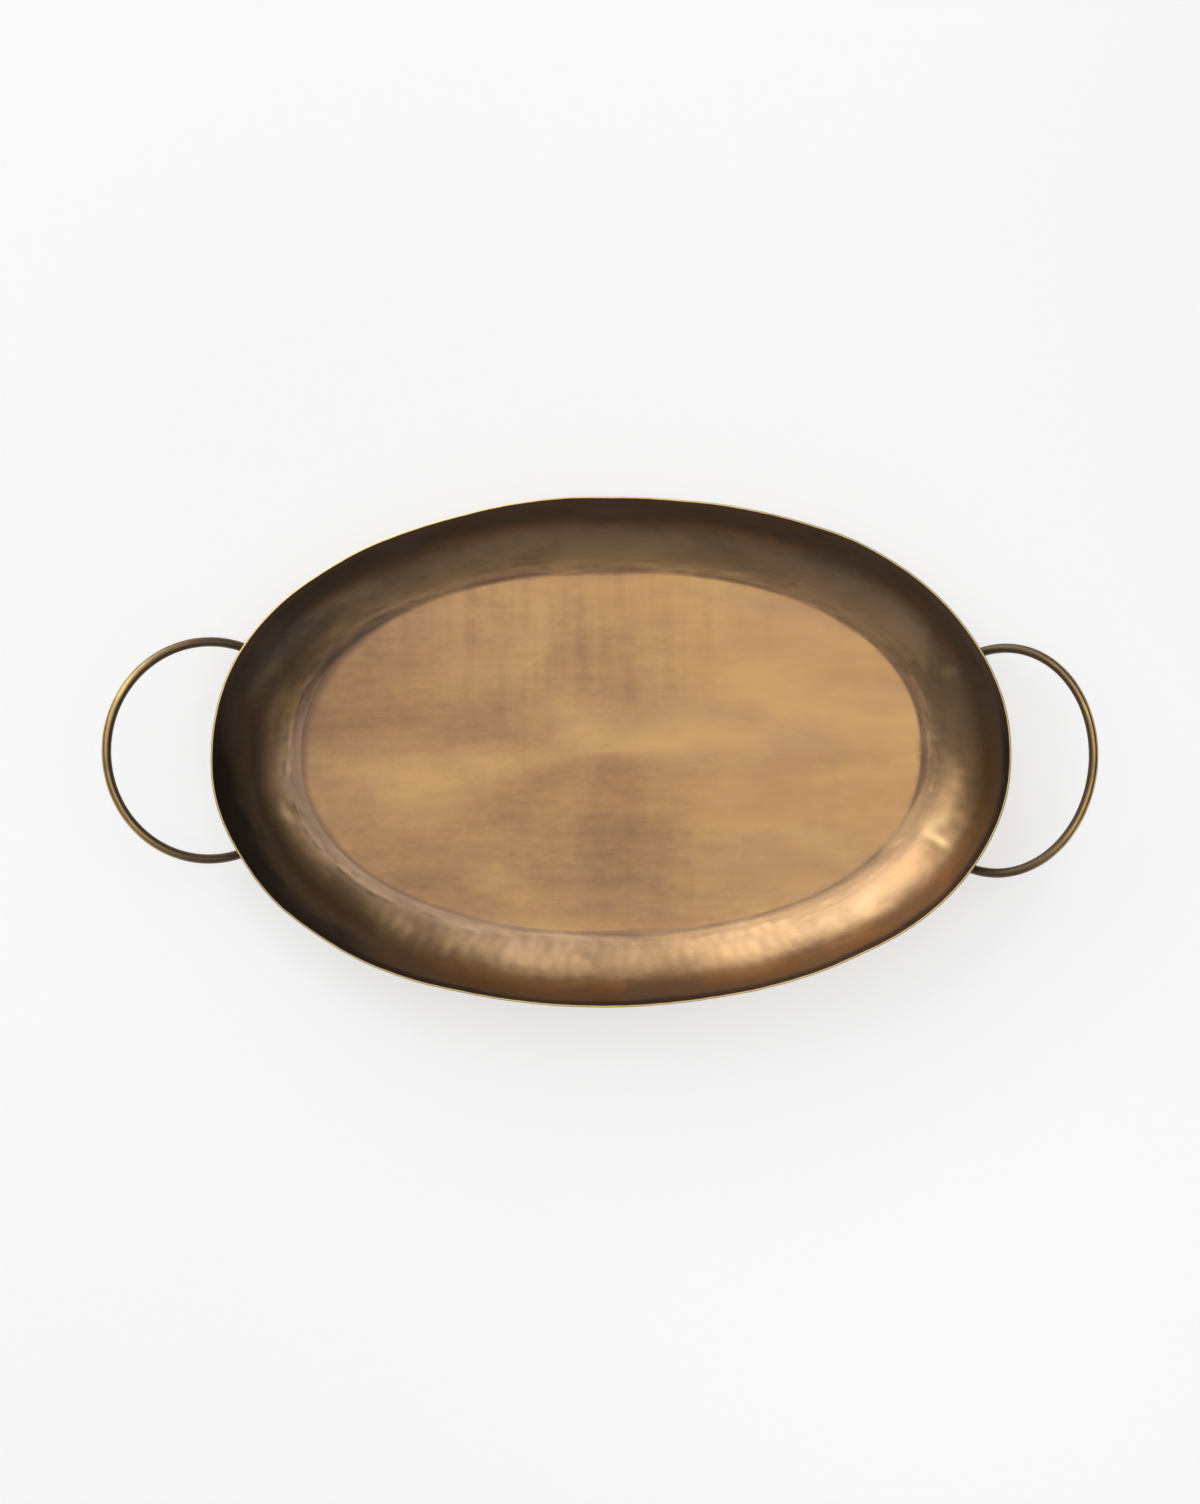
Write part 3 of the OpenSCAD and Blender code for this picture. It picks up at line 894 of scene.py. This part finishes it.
# ---- stage, light and camera ----
def make_floor():
    """A wide pale floor under the tray that glows a little, more so far off, as a lit sweep does."""
    half = 12.0             # half its width
    mesh = bpy.data.meshes.new("floor")
    corners = [(-half, -half, 0), (half, -half, 0), (half, half, 0), (-half, half, 0)]
    mesh.from_pydata(corners, [], [(0, 1, 2, 3)])
    floor = bpy.data.objects.new("floor", mesh)
    floor.location.z = -0.0002
    bpy.context.scene.collection.objects.link(floor)
    material, nodes, shader = new_metal("pale_floor")
    shader.inputs["Metallic"].default_value = 0.0
    shader.inputs["Roughness"].default_value = 0.9
    shader.inputs["Specular IOR Level"].default_value = 0.0
    shader.inputs["Emission Color"].default_value = (1, 1, 1, 1)
    from_middle = nodes.add("ShaderNodeVectorMath", {0: nodes.place()}, operation="LENGTH").outputs["Value"]
    split = nodes.add("ShaderNodeSeparateXYZ", {0: nodes.place()}).outputs
    evened = nodes.spread(split["X"], -0.35, 0.35, -0.02, 0.02)
    evened = nodes.sum(evened, nodes.spread(split["Y"], -0.45, 0.45, 0.03, -0.03))
    evened = nodes.times(evened, nodes.spread(from_middle, 0.6, 1.8, 1.0, 0.0))
    glow = nodes.sum(nodes.spread(from_middle, 0.6, 1.8, 0.595, 0.9), evened)
    nodes.feed(nodes.spread(from_middle, 0.6, 1.8, 0.55, 0.06), shader.inputs["Base Color"])
    nodes.feed(glow, shader.inputs["Emission Strength"])
    mesh.materials.append(material)


def softbox(name, azimuth, elevation, distance, width, height, glow):
    """A flat lamp that faces the tray. glow is the brightness of its face."""
    lamp = bpy.data.lights.new(name, "AREA")
    lamp.shape = "RECTANGLE"
    lamp.size, lamp.size_y = width, height
    lamp.energy = glow * math.pi * width * height
    made = bpy.data.objects.new(name, lamp)
    a, e = math.radians(azimuth), math.radians(elevation)
    made.location = (distance * math.cos(e) * math.cos(a), distance * math.cos(e) * math.sin(a),
                     distance * math.sin(e))
    made.rotation_euler = (math.pi / 2 - e, 0, a + math.pi / 2)
    bpy.context.scene.collection.objects.link(made)


def make_world():
    """Dim studio walls; the camera sees a pale backdrop."""
    world = bpy.data.worlds.new("studio")
    bpy.context.scene.world = world
    world.use_nodes = True
    nodes = Nodes(world.node_tree)
    nodes.tree.nodes.clear()
    dim = nodes.add("ShaderNodeBackground", {"Color": (1, 1, 1, 1), "Strength": 0.03}).outputs[0]
    pale = nodes.add("ShaderNodeBackground", {"Color": (1, 1, 1, 1), "Strength": 0.93}).outputs[0]
    seen = nodes.add("ShaderNodeLightPath").outputs["Is Camera Ray"]
    both = nodes.add("ShaderNodeMixShader", {0: seen, 1: dim, 2: pale}).outputs[0]
    nodes.add("ShaderNodeOutputWorld", {"Surface": both})


def make_camera():
    """Straight above the tray's middle, turned so that the pan lies a touch off level."""
    view_height = 0.943     # height of the view at the rim
    distance = 1.65         # from the rim to the lens
    camera = bpy.data.cameras.new("camera")
    camera.sensor_width = 36.0
    camera.lens = 36.0 * distance / view_height
    made = bpy.data.objects.new("camera", camera)
    made.location = (0, 0, DEPTH + distance)
    made.rotation_euler = (0, 0, math.radians(-0.7))
    bpy.context.scene.collection.objects.link(made)
    bpy.context.scene.camera = made


def place_piece(piece, material, stands_for):
    """Gives a piece its metal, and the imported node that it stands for."""
    piece.data.materials.append(material)
    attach(piece, "root")
    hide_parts(stands_for)


# Softboxes: (name, azimuth, elevation, distance, width, height, brightness of the face)
SOFTBOXES = [
    ("overhead", 62, 83, 2.3, 2.5, 2.3, 0.94),
    ("key", 118, 28, 2.9, 1.7, 2.0, 1.65),
    ("key_spill", 117, 25, 3.1, 4.3, 2.7, 0.86),
    ("key_end", 91, 30, 2.9, 0.7, 1.6, 0.24),
    ("right_fill", 153, 45, 1.8, 0.9, 0.5, 1.4),
    ("left", 203, 22, 1.8, 2.2, 1.5, 0.14),
    ("front", 262, 24, 1.8, 2.4, 1.6, 0.20),
    ("front_right", 318, 10, 1.8, 1.6, 0.5, 0.36),
    ("right_high", 15, 54, 1.8, 1.9, 0.5, 0.24),
    ("back_high", 95, 57, 2.0, 1.9, 0.45, 0.62),
    ("left_high", 180, 56, 1.8, 2.0, 0.5, 0.28),
    ("front_high", 272, 56, 1.8, 2.2, 0.5, 0.4),
]

make_camera()
make_world()
make_floor()
for row in SOFTBOXES:
    softbox(*row)
bpy.context.scene.view_settings.view_transform = "Standard"

aged = aged_brass_group()
brush = brush_group()

pan = make_pan()
place_piece(pan, pan_material(aged, brush), "pan")
rod_metal = rod_material(aged, brush)
braze_metal = braze_material(aged)
for seed, (side, loop) in enumerate(LOOPS.items()):
    handle = make_handle(side + "_loop", loop, 11 + seed)
    place_piece(handle, rod_metal, side + "_handle")
    for number, (end, name) in enumerate([(1, "back"), (-1, "front")]):
        bead = make_braze(f"{side}_{name}_bead", loop, end, 31 + 2 * seed + number)
        place_piece(bead, braze_metal, f"{side}_{name}_braze")
